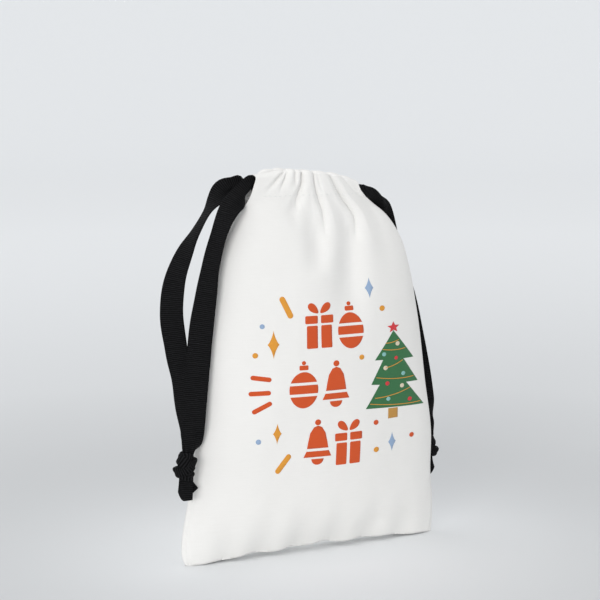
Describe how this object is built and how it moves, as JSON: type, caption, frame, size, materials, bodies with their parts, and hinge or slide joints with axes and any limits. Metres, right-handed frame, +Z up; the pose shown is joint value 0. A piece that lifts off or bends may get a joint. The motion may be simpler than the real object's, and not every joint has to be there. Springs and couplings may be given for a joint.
{
  "type": "drawstring gift pouch",
  "caption": "Flat sewn cotton pouch with a gathered casing at the mouth and two knotted black tapes that draw it shut from both sides.",
  "frame": {"origin": "middle of the pouch's foot, on the surface it stands on", "axes": "+Z up to the gathered mouth, -Y out of the printed front, +X to the right seen from the front"},
  "size_m": [0.1647, 0.0419, 0.196],
  "materials": {
    "cotton": "matt plain weave",
    "tape": "ribbed black tape, low sheen",
    "thread": "matt sewing thread"
  },
  "bodies": {
    "pouch": {"front_panel": "cotton", "back_panel": "cotton", "left_seam": "cotton", "right_seam": "cotton", "bottom_seam": "cotton", "front_casing": "cotton", "back_casing": "cotton", "front_stitches": "thread", "back_stitches": "thread", "left_tack": "thread", "right_tack": "thread", "left_turn": "tape", "right_turn": "tape"},
    "left_drawstring": {"left_lead_front": "tape", "left_lead_back": "tape"},
    "left_loop": {"left_front_strand": "tape", "left_back_strand": "tape", "left_knot": "tape", "left_tails": "tape"},
    "right_drawstring": {"right_lead_front": "tape", "right_lead_back": "tape"},
    "right_loop": {"right_front_strand": "tape", "right_back_strand": "tape", "right_knot": "tape", "right_tails": "tape"}
  },
  "joints": [
    {"name": "left_pull", "type": "slide", "parent": "pouch", "child": "left_drawstring", "axis": [-1, 0, 0], "range_m": [0, 0.04]},
    {"name": "left_swing", "type": "hinge", "parent": "left_drawstring", "child": "left_loop", "pos_m": [-0.0363, 0, 0.1947], "axis": [0, 1, 0], "range_deg": [0, 90]},
    {"name": "right_pull", "type": "slide", "parent": "pouch", "child": "right_drawstring", "axis": [1, 0, 0], "range_m": [0, 0.04]},
    {"name": "right_swing", "type": "hinge", "parent": "right_drawstring", "child": "right_loop", "pos_m": [0.0263, 0, 0.1881], "axis": [0, -1, 0], "range_deg": [0, 90]}
  ]
}
